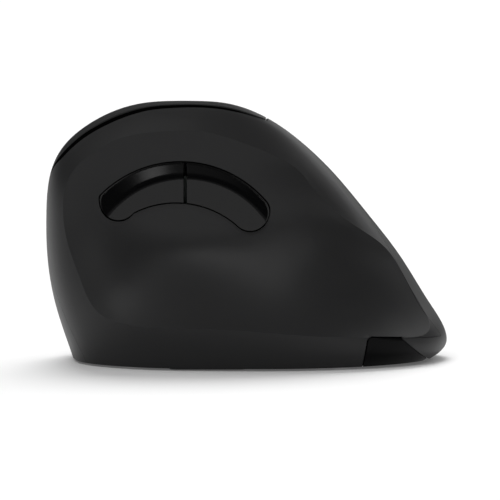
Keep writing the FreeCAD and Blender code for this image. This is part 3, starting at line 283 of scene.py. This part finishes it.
def add_swept(name, rings):
    """Closed dull black solid of painted shade through rings of points, one ring after the other, riding on
    the case.
    """
    wide = len(rings[0])
    last = wide * (len(rings) - 1)
    faces = [tuple(range(wide - 1, -1, -1)), tuple(range(last, last + wide))]
    for i in range(len(rings) - 1):
        for j in range(wide):
            here = wide * i
            after = (j + 1) % wide
            faces.append((here + j, here + after, here + after + wide, here + j + wide))
    mesh = bpy.data.meshes.new(name)
    mesh.from_pydata([point for ring in rings for point in ring], [], faces)
    mesh.materials.append(finishes["painted_gap_shade"])
    piece = bpy.data.objects.new(name, mesh)
    bpy.context.scene.collection.objects.link(piece)
    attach(piece, "root")


def along_rim(around, start, end, skin):
    """Rim points among (angle, reach, point) rows, from one angle down to another, evenly thinned."""
    around = sorted((row for row in around if end < row[0] < start), key=lambda row: -row[0])
    rim = []
    last = start + RIM_STEP
    for angle, reach, place in around:
        outermost = max(row[1] for row in around if abs(row[0] - angle) < RIM_LOOK)
        if reach > outermost - skin and last - angle > RIM_STEP:
            rim.append(place)
            last = angle
    return rim


def rim_of_gap():
    """Points of the thumb shell's rim along the gap, from front to rear."""
    mesh = frame["nodes"]["thumb_shell"].data
    around = []
    for face in mesh.polygons:
        if abs(face.normal.z) < WALL_SLANT and face.normal.y > GAP_FACING:
            for place in [mesh.vertices[i].co for i in face.vertices]:
                x = place.x - GAP_CENTRE_X
                z = place.z - GAP_CENTRE_Z
                around.append((math.atan2(z, x), math.hypot(x, z), place))
    return along_rim(around, GAP_FRONT, GAP_REAR, GAP_SKIN)


def rim_of_well():
    """Points of the thumb shell's rim over the thumb buttons, from rear to front."""
    mesh = frame["nodes"]["thumb_shell"].data
    around = []
    for face in mesh.polygons:
        if abs(face.normal.y) < WALL_SLANT:
            for place in [mesh.vertices[i].co for i in face.vertices]:
                x = place.x - WELL_CENTRE_X
                z = place.z - WELL_CENTRE_Z
                if WELL_LEAST < math.hypot(x, z) < WELL_MOST:
                    around.append((math.atan2(z, x), -place.y, place))
    return along_rim(around, WELL_FRONT, WELL_REAR, WELL_SKIN)[::-1]


def add_band(name, points, ways, start_width, end_width):
    """Thin band of painted shade on the thumb shell's skin, from each rim point a width along its way."""
    shell = frame["nodes"]["thumb_shell"]
    rings = []
    for i, (point, way) in enumerate(zip(points, ways)):
        share = i / (len(points) - 1)
        taper = max(BAND_TIP, min(1.0, share / BAND_TAPER, (1.0 - share) / BAND_TAPER))
        across = way * (start_width + (end_width - start_width) * share) * taper
        _, middle, normal, _ = shell.closest_point_on_mesh(point + across / 2)
        _, edge, _, _ = shell.closest_point_on_mesh(point + across)
        lift = normal * BAND_LIFT
        sunk = normal * BAND_SUNK
        rings.append([point + lift, middle + lift, edge + lift, edge - sunk, middle - sunk])
    add_swept(name, rings)


def add_gap_shade_band():
    """Painted shade along the gap between thumb shell and buttons, a black band for the gap's shadow, wide
    in front and narrow at the rear.
    """
    points = rim_of_gap()
    add_band("gap_shade_band", points, [GAP_WAY] * len(points), GAP_FRONT_WIDTH, GAP_REAR_WIDTH)


def add_well_shade_band():
    """Painted shade round the opening over the thumb buttons, a black band for the shadow in the gap there.
    """
    points = rim_of_well()
    ways = [Vector((point.x - WELL_CENTRE_X, 0.0, point.z - WELL_CENTRE_Z)).normalized() for point in points]
    add_band("well_shade_band", points, ways, WELL_REAR_WIDTH, WELL_FRONT_WIDTH)


def add_slot_shade_sheet():
    """Painted shade just under the slot behind the buttons, a black sheet for the shade inside it, along the
    palm shell's front edge.
    """
    edge = []
    for vertex in frame["nodes"]["palm_shell"].data.vertices:
        out = vertex.co - SLOT_SHADE_CENTRE
        if abs(vertex.co.x - SLOT_SHADE_REAR_X) < SLOT_SHADE_SLACK and vertex.co.z > SLOT_SHADE_LOWEST_Z:
            edge.append((math.atan2(out.z, out.y), math.hypot(out.y, out.z)))
    rings = []
    last = -math.pi
    for angle, radius in sorted(edge):
        skin = max(far for turn, far in edge if abs(turn - angle) < SLOT_SHADE_REACH)
        if radius > skin - SLOT_SHADE_SKIN and angle - last > SLOT_SHADE_STEP:
            last = angle
            way = Vector((0.0, math.cos(angle), math.sin(angle)))
            outer = SLOT_SHADE_CENTRE + way * (radius - SLOT_SHADE_SUNK)
            inner = SLOT_SHADE_CENTRE + way * (radius - SLOT_SHADE_SUNK - SLOT_SHADE_THICKNESS)
            rear = Vector((SLOT_SHADE_REAR_X, 0.0, 0.0))
            front = Vector((SLOT_SHADE_FRONT_X, 0.0, 0.0))
            rings.append([inner + rear, outer + rear, outer + front, inner + front])
    add_swept("slot_shade_sheet", rings)


add_camera()
add_floor()
add_world()
add_sun("sky", azimuth=183, elevation=54, spread=36, strength=2.25).visible_glossy = False
add_sun("front_light", azimuth=-22, elevation=46, spread=34, strength=0.75)
add_sun("rear_light", azimuth=145, elevation=30, spread=30, strength=0.55)

bpy.context.scene.view_settings.view_transform = "Standard"

finishes = {name: plastic(name, **values) for name, values in FINISHES.items()}
slot_of = slots_of_nodes()
for node_name, node in frame["nodes"].items():
    finish = "insert_black" if node_name == "rear_insert" else slot_of[node_name]
    node.data.materials.clear()
    node.data.materials.append(finishes[finish])

# Painted shade: black bands and a sheet laid in the gaps and the slot, standing in for the shadow inside
# them
add_gap_shade_band()
add_well_shade_band()
add_slot_shade_sheet()
